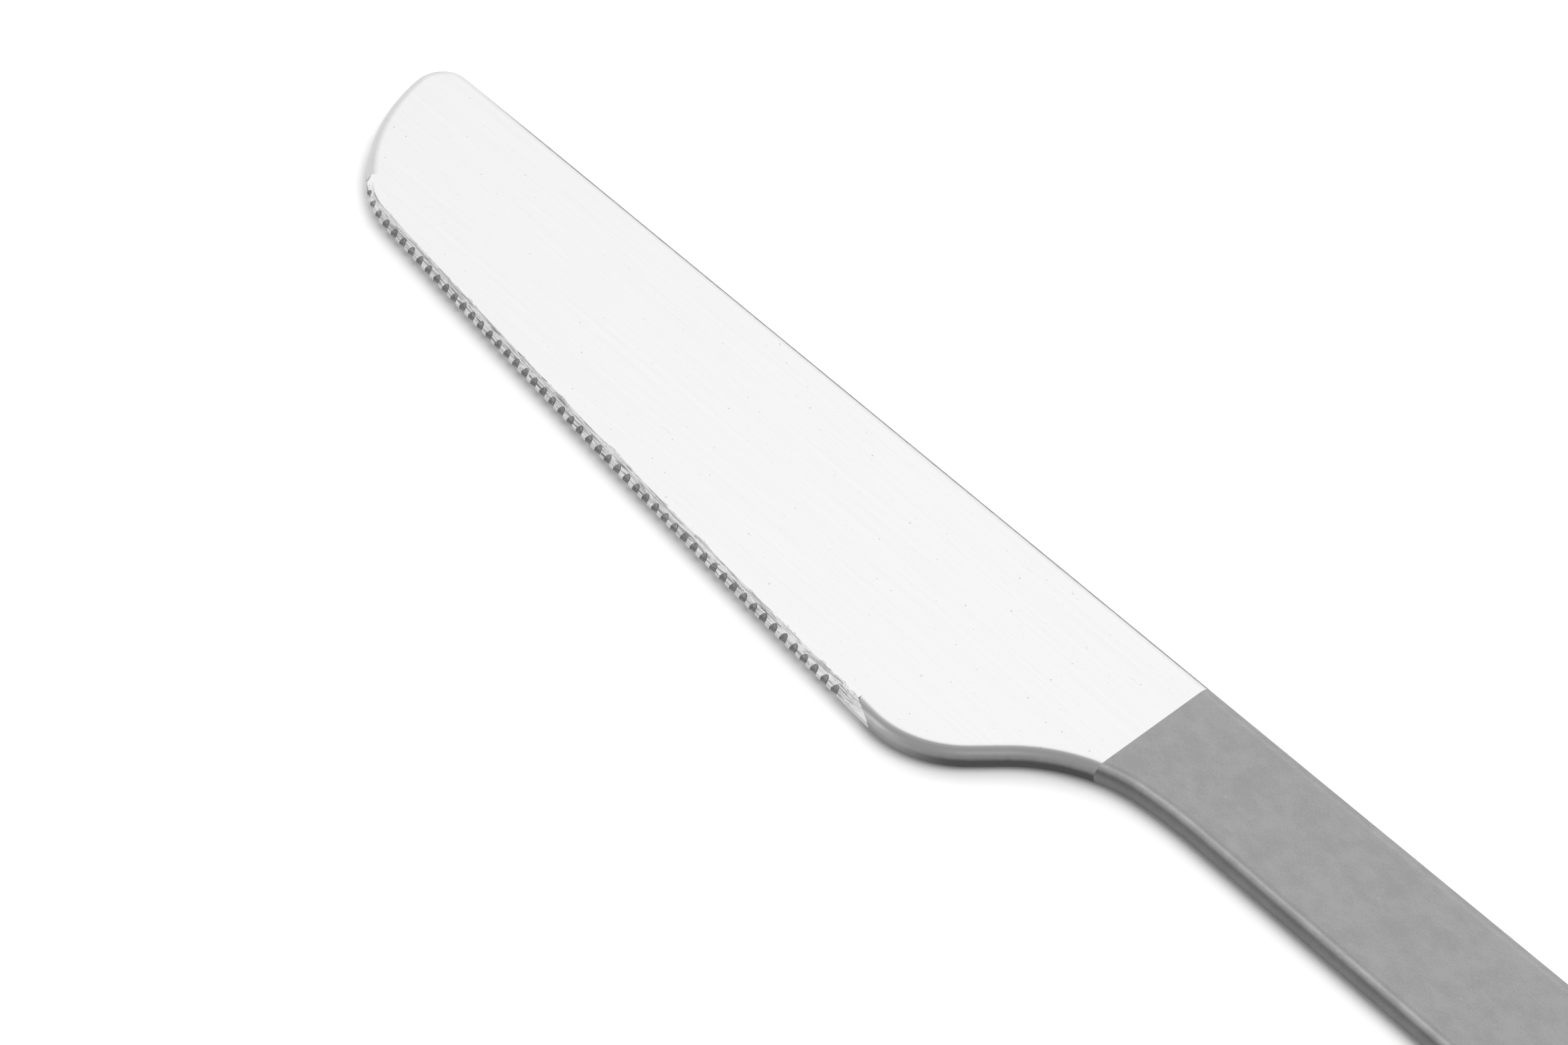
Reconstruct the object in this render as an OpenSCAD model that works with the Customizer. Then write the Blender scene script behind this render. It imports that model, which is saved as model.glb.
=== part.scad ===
// One-piece camping knife: a flat stamped blank with rounded edges, a polished blade
// with a ground, notched cutting edge, and a matte handle with a hanging hole.
// X runs from the tip (-X) to the end of the handle (+X), the spine faces +Y, the
// cutting edge faces -Y, and the knife lies flat on z = 0.

/* [Blank] */
// Length from the tip to the end of the handle
overall_l = 190; // [175:1:205]
// Thickness of the sheet
sheet_t = 2; // [1.8:0.05:2.2]
// Width of the handle just behind the blade
neck_w = 9.84; // [9:0.1:10.6]
// Angle by which the handle widens towards its end
flare = 0.8; // [0.2:0.1:1.2]

/* [Blade] */
// Length from the tip to the line where the polish ends
blade_l = 85.8; // [83:0.1:88]
// Radius of the corner between spine and tip
corner_r = 2.6; // [2.4:0.05:3]
// Turn of that corner
corner_turn = 100.6; // [98:0.2:104]
// Radius of the blunt front of the tip
nose_r = 14.9; // [13:0.1:17]
// Turn of the blunt front, down to where the grinding starts
nose_turn = 43.3; // [41:0.1:46]
// Radius of the belly, the curve that leads from the tip into the cutting edge
belly_r = 9.1; // [8:0.1:10]
// Length of the long, slightly bowed cutting edge
edge_l = 61.7; // [59:0.1:63]
// Angle between the spine and the start of the bowed edge
edge_start = 6; // [5.4:0.1:6.6]
// Turn of the bowed edge from end to end
edge_turn = 2.5; // [2:0.05:3]

/* [Heel and choil] */
// Radius of the heel, where the cutting edge turns up to the handle
heel_r = 9.1; // [8:0.1:10]
// Steepest angle between heel and handle
heel_rise = 47.5; // [45:0.5:50]
// Radius of the hollow that leads to the handle
choil_r = 13.7; // [12.5:0.1:15]
// Radius of the last, flatter part of that hollow
blend_r = 43.5; // [38:0.5:50]
// Angle at which the flatter part starts
blend_rise = 6.4; // [5:0.1:7.5]

/* [Ground edge] */
// Width of the ground bevel, seen from above
bevel_w = 0.56; // [0.46:0.02:0.66]
// Height of the blunt land between the two bevels
land_t = 0.4; // [0.3:0.02:0.5]
// Distance from notch to notch
notch_pitch = 1.2; // [1.1:0.01:1.3]
// Radius of the round cutter of a notch
notch_r = 0.36; // [0.32:0.01:0.42]
// Depth of a notch at half thickness
notch_d = 0.22; // [0.16:0.01:0.28]
// Lean of each of the two cuts that meet in a notch
notch_lean = 10; // [6:1:14]
// Slant of a notch along the edge, with its upper end towards the handle
notch_slant = 15; // [8:1:20]
// Distance from the start of the grinding to the first notch
notch_lead = 1.3; // [1:0.05:1.5]
// Shortest distance from the last notch to the end of the grinding
notch_trail = 3.8; // [3:0.1:5]
// Length over which the grinding runs out at the heel
runout_l = 1.8; // [1.4:0.1:2.2]

/* [Hanging hole] */
// Radius of the hole
hole_r = 2.5; // [2:0.1:2.8]
// Softened edge of the hole
hole_chamfer = 0.25; // [0.1:0.05:0.35]

/* [Hidden] */

// Overrun of all cuts
over = sheet_t;
polished = [0.93, 0.93, 0.93];
ground = [0.8, 0.8, 0.8];
blasted = [0.6, 0.6, 0.6];

// The outline is a chain of stretches that turns left around the knife. Each has a
// radius, which is below 0 where the outline is hollow and 0 where it is straight.
corner = 0;
nose = corner + 1;
belly = nose + 1;
bow = belly + 1;
heel = bow + 1;
slope = heel + 1;
choil = slope + 1;
blend = choil + 1;
grip = blend + 1;
tail = grip + 1;
spine = tail + 1;

// Heading of the outline at the start of each stretch, and at the end of the last
heads = [
    180,
    180 + corner_turn,
    180 + corner_turn + nose_turn,
    360 - edge_start,
    360 - edge_start + edge_turn,
    360 + heel_rise,
    360 + heel_rise,
    360 + blend_rise,
    360 - flare,
    360 - flare,
    540,
    540
];
bow_r = edge_l / (edge_turn * PI / 180);

// Way made by a turn of radius r from heading a to heading b, and by a straight length
function turn(r, a, b) = r * [sin(b) - sin(a), cos(a) - cos(b)];
function ahead(l, a) = l * [cos(a), sin(a)];
function left(a) = [-sin(a), cos(a)];

tip_way = turn(corner_r, heads[corner], heads[nose]) + turn(nose_r, heads[nose], heads[belly]);
ground_way = turn(belly_r, heads[belly], heads[bow]) + turn(bow_r, heads[bow], heads[heel]);
heel_way = turn(heel_r, heads[heel], heads[slope]);
hollow_way = turn(-choil_r, heads[choil], heads[blend]) + turn(-blend_r, heads[blend], heads[grip]);
curved_way = tip_way + ground_way + heel_way + hollow_way;

// The slope behind the heel takes up the height that is left over the neck
slope_l = (-neck_w - curved_way.y) / sin(heel_rise);
grip_start = curved_way + ahead(slope_l, heel_rise);

// The grip is as long as the overall length leaves, with its round end
end_share = (1 + sin(flare)) / (1 + cos(flare));
grip_room = overall_l - corner_r - grip_start.x - neck_w * end_share;
grip_l = grip_room / (cos(flare) + sin(flare) * end_share);
tail_r = (neck_w + grip_l * sin(flare)) / (1 + cos(flare));
spine_l = overall_l - corner_r - tail_r;

radii = [corner_r, nose_r, belly_r, bow_r, heel_r, 0, -choil_r, -blend_r, 0, tail_r, 0];
lengths = [0, 0, 0, 0, 0, slope_l, 0, 0, grip_l, 0, spine_l];

// Steps in which a turn is taken. The bow turns so little that a few flats pass for it.
steps = [19, 14, 12, 6, 14, 0, 14, 8, 0, 48, 0];

function way(i) =
    radii[i] == 0 ? ahead(lengths[i], heads[i]) : turn(radii[i], heads[i], heads[i + 1]);

// The lowest point of the heel sets the middle of the width
depth = -(tip_way + ground_way).y + heel_r * (1 - cos(edge_start - edge_turn));
origin = [corner_r - overall_l / 2, depth / 2];

function start(i) = i == 0 ? origin : start(i - 1) + way(i - 1);
function centre(i) = start(i) + radii[i] * left(heads[i]);

// Point at heading a on a curved stretch, a distance d in from the outline
function inset(i, a, d) = centre(i) - (radii[i] - d) * left(a);

// Points along a turn from heading a to heading b, a distance d in from the outline
function arc(i, a, b, d, first = 0) =
    [for (k = [first:steps[i]]) inset(i, a + (b - a) * k / steps[i], d)];
function line(i, d, first = 0) = arc(i, heads[i], heads[i + 1], d, first);
function ground_line(d) = concat(line(belly, d), line(bow, d, 1));

// Point near the end of the last flat: x along it from the heel, y in from the outline
last_flat = heads[heel] - edge_turn / steps[bow] / 2;
function by_heel(x, y) = start(heel) + ahead(x, last_flat) + y * left(last_flat);

// The grinding runs out at a slant, so the rim starts again further back further in
function rim_start(d) = by_heel(-runout_l * min(1, d / bevel_w), d);

// Heading of the hollow where it meets the line at which the polish ends
finish_x = blade_l - overall_l / 2;
function finish_head(d) = 360 + asin((finish_x - centre(choil).x) / (radii[choil] - d));

// Point on the spine, x behind the middle of the knife
function on_spine(x, d) = [x, origin.y - d];

// The rim is a half round in steps. One falls where the rim is a bevel's width in, so
// that the ground stretches, which keep that width at every height, join it there.
rim_r = sheet_t / 2;
meet = asin(1 - bevel_w / rim_r);
rim_angles = [
    for (k = [0:2]) meet * k / 3,
    for (k = [0:10]) meet + (180 - 2 * meet) * k / 10,
    for (k = [2:-1:0]) 180 - meet * k / 3
];
function rim_in(a) = rim_r * (1 - sin(a));
function rim_height(a) = rim_r * (1 - cos(a));

// Each line starts at a point from which all of the flat inside it can be seen
function blade_line(d) = [
    on_spine(finish_x - blade_l / 2, d),
    each line(corner, d),
    each line(nose, d, 1),
    each line(belly, bevel_w),
    for (k = [1:steps[bow] - 1]) line(bow, bevel_w)[k],
    by_heel(-runout_l, bevel_w),
    rim_start(d),
    each line(heel, d),
    each arc(choil, heads[choil], finish_head(d), d),
    on_spine(finish_x, d)
];
function handle_line(d) = [
    on_spine(finish_x, d),
    each arc(choil, finish_head(d), heads[blend], d),
    each line(blend, d, 1),
    each line(tail, d)
];

// Closed body through rings of as many points each, from the lowest to the highest
module lofted(rings) {
    n = len(rings[0]);
    last = len(rings) - 1;
    lower_face = [0, each [for (j = [n - 1:-1:1]) j]];
    upper_face = [for (j = [0:n - 1]) last * n + j];
    side_faces = [
        for (k = [0:last - 1])
            for (j = [0:n - 1])
                let (next = (j + 1) % n)
                [k * n + j, k * n + next, (k + 1) * n + next, (k + 1) * n + j]
    ];
    polyhedron([for (ring = rings) each ring], [lower_face, upper_face, each side_faces]);
}

// Slanted patch at the heel where the grinding runs out and the round rim returns
module runout() {
    points = [
        start(heel),
        by_heel(-runout_l, bevel_w),
        by_heel(-runout_l, bevel_w + over),
        by_heel(over, bevel_w + over),
        by_heel(over, 0)
    ];
    translate([0, 0, -over]) linear_extrude(sheet_t + 2 * over) polygon(points);
}

// Strip with a bevel on both faces, lofted through a ring of points at every step
module bevelled() {
    bevel_h = (sheet_t - land_t) / 2;
    section = [[0, bevel_h], [bevel_w, 0], [bevel_w, sheet_t], [0, bevel_h + land_t]];
    sides = len(section);
    lines = [for (p = section) ground_line(p.x)];
    last = len(lines[0]) - 1;
    points = [for (k = [0:last]) for (c = [0:sides - 1]) [lines[c][k].x, lines[c][k].y, section[c].y]];
    start_face = [for (c = [0:sides - 1]) c];
    end_face = [for (c = [sides - 1:-1:0]) last * sides + c];
    side_faces = [
        for (k = [0:last - 1])
            for (c = [0:sides - 1])
                let (d = (c + 1) % sides)
                [k * sides + c, (k + 1) * sides + c, (k + 1) * sides + d, k * sides + d]
    ];
    polyhedron(points, [start_face, end_face, each side_faces]);
}

// One slanted notch: two round cuts that lean apart and meet in a ridge at half thickness
module notch() {
    for (lean = [-notch_lean, notch_lean])
        translate([0, notch_d - notch_r / cos(notch_lean), sheet_t / 2]) rotate([lean, notch_slant, 0])
            cylinder(h = sheet_t + 2 * over, r = notch_r, center = true, $fn = 32);
}

// Notches at even steps along the belly and the bow, as far as the grinding has room
module notches() {
    belly_l = belly_r * (heads[bow] - heads[belly]) * PI / 180;
    room = belly_l + edge_l - notch_lead - notch_trail;
    for (n = [0:floor(room / notch_pitch)]) {
        s = notch_lead + n * notch_pitch;
        i = s < belly_l ? belly : bow;
        a = heads[i] + (s < belly_l ? s / belly_r : (s - belly_l) / bow_r) * 180 / PI;
        translate(inset(i, a, 0)) rotate(a) notch();
    }
}

module blade() {
    color(polished) lofted([for (a = rim_angles) [for (p = blade_line(rim_in(a))) [p.x, p.y, rim_height(a)]]]);
}

module edge() {
    color(ground) difference() {
        bevelled();
        runout();
        notches();
    }
}

// Cone that softens the hole's lower edge
module chamfer_cut() {
    translate([0, 0, -hole_chamfer])
        cylinder(h = 2 * hole_chamfer, r1 = hole_r + 2 * hole_chamfer, r2 = hole_r, $fn = 64);
}

module handle() {
    color(blasted) difference() {
        lofted([for (a = rim_angles) [for (p = handle_line(rim_in(a))) [p.x, p.y, rim_height(a)]]]);
        translate(centre(tail)) {
            translate([0, 0, -over]) cylinder(h = sheet_t + 2 * over, r = hole_r, $fn = 64);
            chamfer_cut();
            translate([0, 0, sheet_t]) mirror([0, 0, 1]) chamfer_cut();
        }
    }
}

blade();
edge();
handle();
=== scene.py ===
import math

import bmesh
import bpy
from mathutils import Matrix, Vector


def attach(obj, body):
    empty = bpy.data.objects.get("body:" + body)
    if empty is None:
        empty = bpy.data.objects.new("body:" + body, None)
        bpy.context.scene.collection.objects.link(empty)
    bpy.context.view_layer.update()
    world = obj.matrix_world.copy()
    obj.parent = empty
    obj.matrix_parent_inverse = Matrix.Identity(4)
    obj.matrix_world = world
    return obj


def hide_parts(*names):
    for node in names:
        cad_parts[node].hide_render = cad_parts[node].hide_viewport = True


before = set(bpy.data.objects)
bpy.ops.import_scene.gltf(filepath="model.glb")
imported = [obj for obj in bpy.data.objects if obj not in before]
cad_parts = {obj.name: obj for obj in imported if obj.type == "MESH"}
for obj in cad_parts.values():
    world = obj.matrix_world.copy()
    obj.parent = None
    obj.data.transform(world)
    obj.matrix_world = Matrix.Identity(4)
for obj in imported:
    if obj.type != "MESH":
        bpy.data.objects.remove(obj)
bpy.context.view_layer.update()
mm = 0.001
print("frame loaded")


# helpers for node trees: a material's tree or the world's
def addNode(tree, kind, **settings):
    node = tree.nodes.new(kind)
    for key, value in settings.items():
        setattr(node, key, value)
    return node


def feed(tree, socket, value):
    # another node's output is linked, a number or a colour goes onto the socket itself
    if isinstance(value, bpy.types.NodeSocket):
        tree.links.new(value, socket)
    else:
        socket.default_value = value


def setInputs(tree, node, **values):
    for key, value in values.items():
        feed(tree, node.inputs[key.replace("_", " ")], value)


def newMaterial(name):
    material = bpy.data.materials.new(name)
    material.use_nodes = True
    material.node_tree.nodes.clear()
    return material, material.node_tree


def mathNode(tree, operation, *values, clamp=False):
    node = addNode(tree, "ShaderNodeMath", operation=operation, use_clamp=clamp)
    for socket, value in zip(node.inputs, values):
        feed(tree, socket, value)
    return node.outputs[0]


def times(tree, first, second):
    return mathNode(tree, "MULTIPLY", first, second)


def plus(tree, first, second):
    return mathNode(tree, "ADD", first, second)


def larger(tree, first, second):
    return mathNode(tree, "MAXIMUM", first, second)


def rampNode(tree, source, low, high, fromValue=0.0, toValue=1.0, smooth=True):
    interpolation = "SMOOTHSTEP" if smooth else "LINEAR"
    node = addNode(tree, "ShaderNodeMapRange", clamp=True, interpolation_type=interpolation)
    for socket, value in zip(node.inputs, (source, low, high, fromValue, toValue)):
        feed(tree, socket, value)
    return node.outputs[0]


# where a Mix node has its factor, first, second and result, by what it mixes
mixSockets = {"RGBA": (0, 6, 7, 2), "FLOAT": (0, 2, 3, 0)}


def mixNode(tree, kind, *values):
    node = addNode(tree, "ShaderNodeMix", data_type=kind)
    *places, result = mixSockets[kind]
    for index, value in zip(places, values):
        feed(tree, node.inputs[index], value)
    return node.outputs[result]


def mixColours(tree, factor, first, second):
    return mixNode(tree, "RGBA", factor, first, second)


def mixNumbers(tree, factor, first, second):
    return mixNode(tree, "FLOAT", factor, first, second)


def grey(value):
    return (value, value, value, 1.0)


def axesOf(tree, vector):
    node = addNode(tree, "ShaderNodeSeparateXYZ")
    feed(tree, node.inputs[0], vector)
    return node.outputs


def noiseNode(tree, vector, detail, roughness):
    node = addNode(tree, "ShaderNodeTexNoise")
    setInputs(tree, node, Vector=vector, Scale=1.0, Detail=detail, Roughness=roughness)
    return node.outputs["Fac"]


def stretchedNoise(tree, coordinates, stretch, turn=0.0, detail=4, roughness=0.6):
    # drawn out along one direction, as polishing leaves it; stretch is in lumps per mm
    mapping = addNode(tree, "ShaderNodeMapping")
    setInputs(tree, mapping, Vector=coordinates, Rotation=(0, 0, math.radians(turn)),
              Scale=[count / mm for count in stretch])
    return noiseNode(tree, mapping.outputs[0], detail, roughness)


def specks(tree, coordinates, spacing, size, share, strength, stretch=1.0, turn=0.0):
    # dots, or short scratches where stretched, about spacing mm apart on the flat faces
    smallest, softness = 0.4, 0.6
    mapping = addNode(tree, "ShaderNodeMapping")
    perMetre = 1 / (spacing * mm)
    setInputs(tree, mapping, Vector=coordinates, Rotation=(0, 0, math.radians(turn)),
              Scale=(perMetre / stretch, perMetre, 0))
    cells = addNode(tree, "ShaderNodeTexVoronoi", voronoi_dimensions="2D")
    setInputs(tree, cells, Vector=mapping.outputs[0], Scale=1.0, Randomness=1.0)
    chance = addNode(tree, "ShaderNodeSeparateColor")
    feed(tree, chance.inputs[0], cells.outputs["Color"])
    kept = mathNode(tree, "LESS_THAN", chance.outputs[0], share)
    # each dot has its own size, up to a whole size above the smallest
    across = size / spacing
    reach = mathNode(tree, "MULTIPLY_ADD", chance.outputs[1], across, smallest * across)
    far = mathNode(tree, "DIVIDE", cells.outputs["Distance"], reach)
    near = mathNode(tree, "SUBTRACT", 1.0, far, clamp=True)
    dot = times(tree, rampNode(tree, near, 0.0, softness), kept)
    return times(tree, dot, strength)


def metalSurface(tree, colour, roughness, height, strength, depth):
    bump = addNode(tree, "ShaderNodeBump")
    setInputs(tree, bump, Height=height, Strength=strength, Distance=depth * mm)
    shader = addNode(tree, "ShaderNodeBsdfPrincipled")
    setInputs(tree, shader, Metallic=1.0, Base_Color=colour, Roughness=roughness,
              Normal=bump.outputs[0])
    output = addNode(tree, "ShaderNodeOutputMaterial")
    feed(tree, output.inputs["Surface"], shader.outputs[0])


# where the cutting edge runs on the part: the two arcs of its outline, in mm
edgeArcs = {
    "belly": {"centre": (-83.7272, 4.5761), "radius": 9.1},
    "bow": {"centre": (63.1311, 1401.8394), "radius": 1414.0598},
    "startsBelow": -2.7766,
    "meetAt": -84.678,
    "groundWidth": 0.56,
}


def insetFromEdge(tree, coordinates, place):
    # distance in mm inwards from the cutting edge's outline, by the arc that runs there
    flatten = addNode(tree, "ShaderNodeVectorMath", operation="MULTIPLY")
    feed(tree, flatten.inputs[0], coordinates)
    feed(tree, flatten.inputs[1], (1, 1, 0))
    insets = []
    for arc in ("belly", "bow"):
        x, y = edgeArcs[arc]["centre"]
        away = addNode(tree, "ShaderNodeVectorMath", operation="DISTANCE")
        feed(tree, away.inputs[0], flatten.outputs[0])
        feed(tree, away.inputs[1], (x * mm, y * mm, 0))
        radius = edgeArcs[arc]["radius"] * mm
        insets.append(mathNode(tree, "SUBTRACT", radius, away.outputs["Value"]))
    onBow = mathNode(tree, "GREATER_THAN", place["X"], edgeArcs["meetAt"] * mm)
    return times(tree, mixNumbers(tree, onBow, insets[0], insets[1]), 1 / mm)


def alongEdgeNoise(tree, place, inset, across, along, detail=3, roughness=0.6):
    # lines that follow the cutting edge, so many per mm across it and along it
    combine = addNode(tree, "ShaderNodeCombineXYZ")
    feed(tree, combine.inputs[0], times(tree, place["X"], along / mm))
    feed(tree, combine.inputs[1], times(tree, inset, across))
    feed(tree, combine.inputs[2], times(tree, place["Z"], along / mm))
    return noiseNode(tree, combine.outputs[0], detail, roughness)


def smoothCopy(nodeName, pieceName, material, sharpAngle):
    # the frame's own shape, with its rim smooth and its flat faces kept flat in the shading
    mergeWithin = 0.0005 * mm
    levelFace = 0.9999
    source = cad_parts[nodeName]
    mesh = bpy.data.meshes.new(pieceName)
    shape = bmesh.new()
    shape.from_mesh(source.data)
    bmesh.ops.remove_doubles(shape, verts=shape.verts, dist=mergeWithin)
    bmesh.ops.dissolve_degenerate(shape, dist=mergeWithin, edges=shape.edges)
    bmesh.ops.recalc_face_normals(shape, faces=shape.faces)
    for face in shape.faces:
        face.smooth = True
        face.material_index = 0
    for edge in shape.edges:
        level = [abs(face.normal.z) > levelFace for face in edge.link_faces]
        rounded = edge.calc_face_angle(0) < math.radians(sharpAngle)
        edge.smooth = rounded and level[0] == level[-1]
    shape.to_mesh(mesh)
    shape.free()
    mesh.materials.append(material)
    piece = bpy.data.objects.new(pieceName, mesh)
    bpy.context.scene.collection.objects.link(piece)
    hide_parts(nodeName)
    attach(piece, "root")


# polished blade: sizes, heights and places in mm, noises in lumps per mm
polish = {
    "sharpAngle": 32,
    "brightness": 0.60,
    "lineDarker": 0.009,
    "lineLighter": 0.007,
    "lineContrast": (0.32, 0.68),  # noise values that turn dark and light
    "lineDepth": 0.01,
    "lineStrength": 0.12,
    "fineLines": {"stretch": (0.11, 9, 0.11), "turn": -1.5},
    "broadLines": {"stretch": (0.04, 2.6, 0.04), "turn": 0.5},
    "clouds": {"stretch": (0.07, 0.11, 0.09), "detail": 2},
    "flatFace": (0.93, 0.995),  # upright part of the normal, from the rim to the face
    "faceRoughness": 0.15,
    "rimRoughness": 0.36,
    "cloudRoughness": 0.02,
    "dustRoughness": 0.6,
    "paintedShadeRoughness": 0.2,
    "dustGrey": 0.34,
    "dust": (
        {"spacing": 2.2, "size": 0.07, "share": 0.5, "strength": 0.6},
        {"spacing": 0.9, "size": 0.05, "share": 0.45, "strength": 0.3},
    ),
    "scratches": (
        {"spacing": 3.1, "size": 0.05, "share": 0.3, "strength": 0.16, "stretch": 9.0, "turn": 7},
        {"spacing": 4.3, "size": 0.05, "share": 0.3, "strength": 0.16, "stretch": 6.0, "turn": -9},
    ),
    "burrWidth": 0.19,
    "burrShare": 0.7,
    "burrGreys": (0.54, 0.22),
    "burrClumps": {"across": 0.5, "along": 0.42, "detail": 5, "roughness": 0.7},
    "burrClumpsShow": (0.5, 0.66),  # noise values from no burr to its full width
    "burrHatch": {"across": 12, "along": 12},
    "burrHatchContrast": (0.42, 0.58),
    # painted shade low on the rim and a painted shadow line along the top of the spine's side
    "paintedShadeGrey": 0.09,
    "paintedShadeHeights": (1.16, 1.84),  # fully dark below the first, none above the second
    "paintedShadeRagged": {"stretch": (1.5, 1.5, 0.7), "detail": 3},
    "paintedShadeWanders": 0.1,
    "paintedShadeAtTip": (-92, -82),  # where it comes in, from the tip on
    "paintedShadeAtHeel": (-21.5, -16.5),
    "paintedShadeHeelShare": 0.6,
    "paintedSpineShadowHeights": (1.66, 1.84),
    "spineFaces": 0.4,  # least part of the normal that points to the spine's side
}


def makeBurr(tree, coordinates, place, flat):
    # ragged burr and stray grinding marks beside the ground strip: its share and its colour
    inset = insetFromEdge(tree, coordinates, place)
    ragged = alongEdgeNoise(tree, place, inset, **polish["burrClumps"])
    reach = rampNode(tree, ragged, *polish["burrClumpsShow"], 0.0, polish["burrWidth"],
                     smooth=False)
    past = mathNode(tree, "SUBTRACT", inset, edgeArcs["groundWidth"])
    inBurr = mathNode(tree, "LESS_THAN", past, reach)
    onEdge = mathNode(tree, "LESS_THAN", place["Y"], edgeArcs["startsBelow"] * mm)
    burr = times(tree, times(tree, inBurr, onEdge), flat)
    hatch = alongEdgeNoise(tree, place, inset, **polish["burrHatch"])
    light, dark = polish["burrGreys"]
    colour = mixColours(tree, rampNode(tree, hatch, *polish["burrHatchContrast"]),
                        grey(light), grey(dark))
    return times(tree, burr, polish["burrShare"]), colour


def makePaintedRimShade(tree, coordinates, place, normal, flat):
    # painted shade low on the rim, which is also made rougher there: along the spine it reaches
    # higher as a thin painted shadow line, and it fades out at the tip and, on the side of the
    # edge, over the heel
    raggedNoise = stretchedNoise(tree, coordinates, **polish["paintedShadeRagged"])
    wanders = polish["paintedShadeWanders"]
    wander = mathNode(tree, "MULTIPLY_ADD", raggedNoise, wanders, -wanders / 2)
    height = mathNode(tree, "MULTIPLY_ADD", place["Z"], 1 / mm, wander)
    paintedShade = rampNode(tree, height, *polish["paintedShadeHeights"], 1.0, 0.0)
    onSpine = mathNode(tree, "GREATER_THAN", normal["Y"], polish["spineFaces"])
    paintedSpineShadow = rampNode(tree, height, *polish["paintedSpineShadowHeights"], 1.0, 0.0)
    paintedShade = larger(tree, paintedShade, times(tree, paintedSpineShadow, onSpine))
    tipFrom, tipTo = polish["paintedShadeAtTip"]
    paintedShade = times(tree, paintedShade, rampNode(tree, place["X"], tipFrom * mm, tipTo * mm))
    heelFrom, heelTo = polish["paintedShadeAtHeel"]
    heel = rampNode(tree, place["X"], heelFrom * mm, heelTo * mm, polish["paintedShadeHeelShare"], 1.0)
    spineSide = mathNode(tree, "GREATER_THAN", normal["Y"], 0.0)
    paintedShade = times(tree, paintedShade, larger(tree, spineSide, heel))
    return times(tree, paintedShade, mathNode(tree, "SUBTRACT", 1.0, flat))


def makePolishMaterial():
    material, tree = newMaterial("polishedSteel")
    coordinates = addNode(tree, "ShaderNodeTexCoord").outputs["Object"]
    place = axesOf(tree, coordinates)
    normal = axesOf(tree, addNode(tree, "ShaderNodeNewGeometry").outputs["Normal"])
    upright = mathNode(tree, "ABSOLUTE", normal["Z"])
    flat = rampNode(tree, upright, *polish["flatFace"])
    # faint lines left by the polishing belt, nearly along the blade
    fine = stretchedNoise(tree, coordinates, **polish["fineLines"])
    broad = stretchedNoise(tree, coordinates, **polish["broadLines"])
    lines = times(tree, plus(tree, fine, broad), 0.5)
    colour = mixColours(tree, rampNode(tree, lines, *polish["lineContrast"]),
                        grey(polish["brightness"] - polish["lineDarker"]),
                        grey(polish["brightness"] + polish["lineLighter"]))
    # dust, pits and single scratches
    dust = [specks(tree, coordinates, **one) for one in polish["dust"]]
    scratches = [specks(tree, coordinates, **one) for one in polish["scratches"]]
    marks = times(tree, larger(tree, larger(tree, *dust), plus(tree, *scratches)), flat)
    colour = mixColours(tree, marks, colour, grey(polish["dustGrey"]))
    burr, burrColour = makeBurr(tree, coordinates, place, flat)
    colour = mixColours(tree, burr, colour, burrColour)
    # painted shade darkens the rim low down and along the top of the spine's side
    paintedShade = makePaintedRimShade(tree, coordinates, place, normal, flat)
    colour = mixColours(tree, paintedShade, colour, grey(polish["paintedShadeGrey"]))
    # smooth on the faces, duller on the rim, dullest where the painted shade lies on the rim and
    # under dust
    rough = mixNumbers(tree, flat, polish["rimRoughness"], polish["faceRoughness"])
    clouds = stretchedNoise(tree, coordinates, **polish["clouds"])
    rough = plus(tree, rough, times(tree, clouds, polish["cloudRoughness"]))
    rough = plus(tree, rough, times(tree, paintedShade, polish["paintedShadeRoughness"]))
    rough = larger(tree, rough, times(tree, marks, polish["dustRoughness"]))
    metalSurface(tree, colour, rough, lines, polish["lineStrength"], polish["lineDepth"])
    return material


smoothCopy("blade", "polishedBlade", makePolishMaterial(), polish["sharpAngle"])
print("blade polished")


# ground, notched edge: depths and heights in mm, lines per mm across and along the edge
grind = {
    "sharpAngle": 18,
    "bevelGrey": 0.84,
    "scratchGrey": 0.20,
    "landGrey": 0.62,
    "scratchDepth": 0.03,
    "scratchStrength": 0.5,
    "lines": {
        "fine": {"across": 22, "along": 0.4, "roughness": 0.6},
        "deep": {"across": 12, "along": 0.55, "roughness": 0.5},
        "nicks": {"across": 12, "along": 4, "roughness": 0.6},
    },
    "linesShow": {"fine": (0.51, 0.58), "deep": (0.60, 0.66), "nicks": (0.60, 0.68)},
    "lineShare": {"fine": 0.7, "deep": 1.0, "nicks": 0.7},
    "roughness": (0.26, 0.42),
    "roughnessFollows": (0.3, 0.7),
    "steepFace": (0.4, 0.3),  # upright part of the normal, from the bevel to the walls
    "cutsBehind": 0.015,  # walls this far in from the outline belong to the notches
    # the walls' dark greys are partly painted shade, and the crease's darker grey is painted shade
    "shadedWallGreys": (0.138, 0.345),
    "wallTorn": {"stretch": (9, 9, 1.2), "roughness": 0.7},
    "wallContrast": (0.3, 0.7),
    "creaseShadeGrey": 0.09,
    "creaseAt": 1.0,
    "creaseWidth": (-0.02, 0.06),
    "creaseWanders": 0.08,
}


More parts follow.
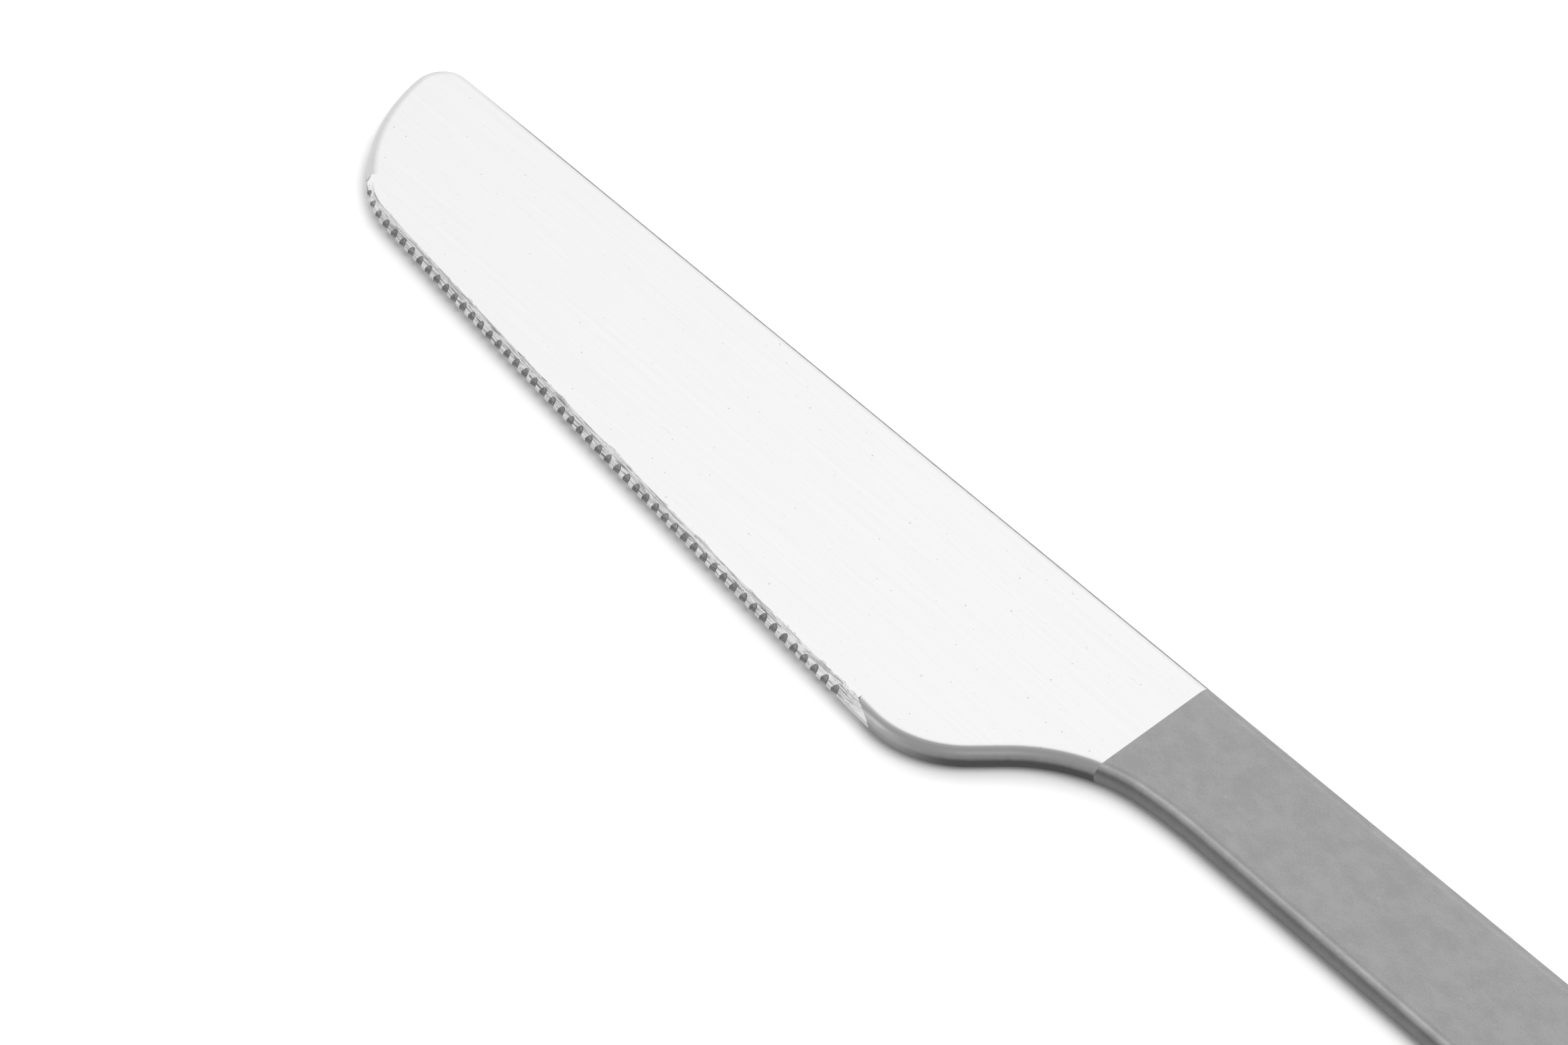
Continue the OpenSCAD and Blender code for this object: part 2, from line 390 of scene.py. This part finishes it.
def makeGrindMaterial():
    material, tree = newMaterial("groundSteel")
    coordinates = addNode(tree, "ShaderNodeTexCoord").outputs["Object"]
    place = axesOf(tree, coordinates)
    inset = insetFromEdge(tree, coordinates, place)
    normal = axesOf(tree, addNode(tree, "ShaderNodeNewGeometry").outputs["True Normal"])
    upright = mathNode(tree, "ABSOLUTE", normal["Z"])
    steep = rampNode(tree, upright, *grind["steepFace"], smooth=False)
    inNotch = times(tree, steep, mathNode(tree, "GREATER_THAN", inset, grind["cutsBehind"]))
    # scratches that follow the grinding, some deep and dark
    noises, dark = {}, 0.0
    for name, line in grind["lines"].items():
        noises[name] = alongEdgeNoise(tree, place, inset, **line)
        shown = rampNode(tree, noises[name], *grind["linesShow"][name])
        dark = larger(tree, dark, times(tree, shown, grind["lineShare"][name]))
    colour = mixColours(tree, dark, grey(grind["bevelGrey"]), grey(grind["scratchGrey"]))
    colour = mixColours(tree, steep, colour, grey(grind["landGrey"]))
    # notch walls: dark greys, partly painted shade, streaked by noise, with painted shade darkest
    # in the crease where the two cuts meet
    raggedNoise = stretchedNoise(tree, coordinates, **grind["wallTorn"])
    darkWall, lightWall = grind["shadedWallGreys"]
    wall = mixColours(tree, rampNode(tree, raggedNoise, *grind["wallContrast"]),
                      grey(darkWall), grey(lightWall))
    height = mathNode(tree, "SUBTRACT", times(tree, place["Z"], 1 / mm), grind["creaseAt"])
    away = mathNode(tree, "ABSOLUTE", height)
    away = mathNode(tree, "MULTIPLY_ADD", raggedNoise, -grind["creaseWanders"], away)
    creaseShade = rampNode(tree, away, *grind["creaseWidth"], 1.0, 0.0)
    wall = mixColours(tree, creaseShade, wall, grey(grind["creaseShadeGrey"]))
    colour = mixColours(tree, inNotch, colour, wall)
    rough = rampNode(tree, noises["fine"], *grind["roughnessFollows"], *grind["roughness"])
    relief = mathNode(tree, "SUBTRACT", noises["fine"], dark)
    metalSurface(tree, colour, rough, relief, grind["scratchStrength"], grind["scratchDepth"])
    return material


smoothCopy("edge", "notchedEdge", makeGrindMaterial(), grind["sharpAngle"])
print("edge ground and notched")


# bead-blasted handle: depths and heights in mm, noises in lumps per mm
blast = {
    "sharpAngle": 32,
    "brightness": 0.325,
    "darker": 0.9,
    "lighter": 1.1,
    "toneContrast": (0.35, 0.65),
    "mottles": {"stretch": (0.52, 0.76, 0.7), "turn": 20, "detail": 3},
    "mottleShare": 0.6,
    "grains": {"stretch": (7, 7, 7), "detail": 3},
    "grainShare": 0.4,
    "grainDepth": 0.02,
    "grainStrength": 0.35,
    "glints": {"spacing": 1.9, "size": 0.09, "share": 0.4, "strength": 0.25},
    "glintLighter": 1.7,
    "roughness": (0.50, 0.55),
    "roughnessFollows": (0.2, 0.8),
    "roundedRim": (0.93, 0.998),  # upright part of the normal, from the rim to the face
    # painted highlight on the shoulder of the edge side's rim, painted shade below it and on the
    # spine's side
    "sideLightAndShadeHeights": (1.62, 1.95),
    "sideShadeShare": 0.62,
    "shoulderHighlightShare": 1.9,
    "spineShadeShare": 0.9,
    "spineFaces": (-0.1, 0.1),  # part of the normal that points to the spine's side
}


def makeBlastMaterial():
    material, tree = newMaterial("blastedSteel")
    coordinates = addNode(tree, "ShaderNodeTexCoord").outputs["Object"]
    place = axesOf(tree, coordinates)
    normal = axesOf(tree, addNode(tree, "ShaderNodeNewGeometry").outputs["Normal"])
    # faint clouds and fine grain left by the beads, with a glint here and there
    mottle = stretchedNoise(tree, coordinates, **blast["mottles"])
    grain = stretchedNoise(tree, coordinates, **blast["grains"])
    tone = plus(tree, times(tree, mottle, blast["mottleShare"]),
                times(tree, grain, blast["grainShare"]))
    colour = mixColours(tree, rampNode(tree, tone, *blast["toneContrast"]),
                        grey(blast["brightness"] * blast["darker"]),
                        grey(blast["brightness"] * blast["lighter"]))
    glints = specks(tree, coordinates, **blast["glints"])
    colour = mixColours(tree, glints, colour, grey(blast["brightness"] * blast["glintLighter"]))
    # painted highlight and painted shade on the rounded rim: a light shoulder on the side of the
    # edge with shade below it, and the spine's side a little darker
    upright = mathNode(tree, "ABSOLUTE", normal["Z"])
    rounded = rampNode(tree, upright, *blast["roundedRim"], 1.0, 0.0)
    low, high = blast["sideLightAndShadeHeights"]
    edgeSideLightAndShade = rampNode(tree, place["Z"], low * mm, high * mm,
                        blast["sideShadeShare"], blast["shoulderHighlightShare"])
    onSpine = rampNode(tree, normal["Y"], *blast["spineFaces"])
    litAndShaded = addNode(tree, "ShaderNodeVectorMath", operation="SCALE")
    feed(tree, litAndShaded.inputs[0], colour)
    feed(tree, litAndShaded.inputs["Scale"], mixNumbers(tree, onSpine, edgeSideLightAndShade, blast["spineShadeShare"]))
    colour = mixColours(tree, rounded, colour, litAndShaded.outputs[0])
    rough = rampNode(tree, mottle, *blast["roughnessFollows"], *blast["roughness"])
    metalSurface(tree, colour, rough, grain, blast["grainStrength"], blast["grainDepth"])
    return material


smoothCopy("handle", "blastedHandle", makeBlastMaterial(), blast["sharpAngle"])
print("handle blasted")


# pale floor, softboxes and the light all round, with sizes and distances in metres
stage = {"floorGrey": 0.95, "floorRoughness": 0.7, "floorSize": 3.0, "lampsAway": 1.2}


def makeFloor():
    shape = bmesh.new()
    bmesh.ops.create_grid(shape, x_segments=1, y_segments=1, size=stage["floorSize"] / 2)
    mesh = bpy.data.meshes.new("floor")
    shape.to_mesh(mesh)
    shape.free()
    floor = bpy.data.objects.new("floor", mesh)
    bpy.context.scene.collection.objects.link(floor)
    material, tree = newMaterial("paleFloor")
    shader = addNode(tree, "ShaderNodeBsdfPrincipled")
    setInputs(tree, shader, Base_Color=grey(stage["floorGrey"]), Roughness=stage["floorRoughness"])
    output = addNode(tree, "ShaderNodeOutputMaterial")
    feed(tree, output.inputs["Surface"], shader.outputs[0])
    mesh.materials.append(material)


makeFloor()

# the direction each softbox shines from, its size and brightness, and whether the metal
# mirrors it; the one overhead only lights the floor
lights = {
    "topBox": {"from": (0.45, 0.15, 0.88), "size": 0.9, "bright": 3.6, "mirrored": False},
    "lowBox": {"from": (-0.53, -0.77, 0.34), "size": 0.4, "bright": 1.3, "mirrored": True},
    "frontBox": {"from": (0.54, -0.50, 0.68), "size": 0.35, "bright": 0.6, "mirrored": True},
}
for name, facts in lights.items():
    data = bpy.data.lights.new(name, "AREA")
    data.shape = "SQUARE"
    data.size = facts["size"]
    data.energy = facts["bright"] * math.pi * facts["size"] ** 2
    lamp = bpy.data.objects.new(name, data)
    toward = Vector(facts["from"]).normalized()
    lamp.location = toward * stage["lampsAway"]
    lamp.rotation_euler = (-toward).to_track_quat("-Z", "Y").to_euler()
    lamp.visible_glossy = facts["mirrored"]
    bpy.context.scene.collection.objects.link(lamp)

# soft light all round, brighter behind the knife than on the side of the camera, and a
# little darker beyond the tip
around = {
    "behind": (-0.6, 0.8, 0),
    "turns": (0.05, 0.46),
    "nearSide": 0.44,
    "farSide": 1.55,
    "beyondTip": (-1.0, -0.5),
    "tipShare": 0.72,
}


def makeStudio():
    world = bpy.data.worlds.new("studio")
    world.use_nodes = True
    tree = world.node_tree
    direction = addNode(tree, "ShaderNodeTexCoord").outputs["Generated"]
    facing = addNode(tree, "ShaderNodeVectorMath", operation="DOT_PRODUCT")
    feed(tree, facing.inputs[0], direction)
    feed(tree, facing.inputs[1], around["behind"])
    light = rampNode(tree, facing.outputs["Value"], *around["turns"],
                     around["nearSide"], around["farSide"])
    tipward = axesOf(tree, direction)["X"]
    dimmed = rampNode(tree, tipward, *around["beyondTip"], around["tipShare"], 1.0)
    background = tree.nodes["Background"]
    setInputs(tree, background, Color=grey(1.0), Strength=times(tree, light, dimmed))
    bpy.context.scene.world = world


makeStudio()
bpy.context.scene.view_settings.view_transform = "Standard"
print("stage lit")

# the camera stands where the photograph was taken from; places and lens in mm
view = {
    "at": (174.772, -160.601, 305.336),
    "ahead": (-0.532915, 0.391580, -0.750111),
    "up": (-0.547194, 0.516698, 0.658485),
    "lens": 130.96,
    "sensor": 36,
    "nearest": 10,
    "farthest": 20000,
}
lens = bpy.data.cameras.new("photoCamera")
lens.sensor_fit = "HORIZONTAL"
lens.sensor_width = view["sensor"]
lens.lens = view["lens"]
lens.clip_start = view["nearest"] * mm
lens.clip_end = view["farthest"] * mm
camera = bpy.data.objects.new("photoCamera", lens)
back = -Vector(view["ahead"]).normalized()
up = Vector(view["up"])
up = (up - back * up.dot(back)).normalized()
side = up.cross(back)
turned = Matrix((side, up, back)).transposed().to_4x4()
camera.matrix_world = Matrix.Translation(Vector(view["at"]) * mm) @ turned
bpy.context.scene.collection.objects.link(camera)
bpy.context.scene.camera = camera
print("camera set")
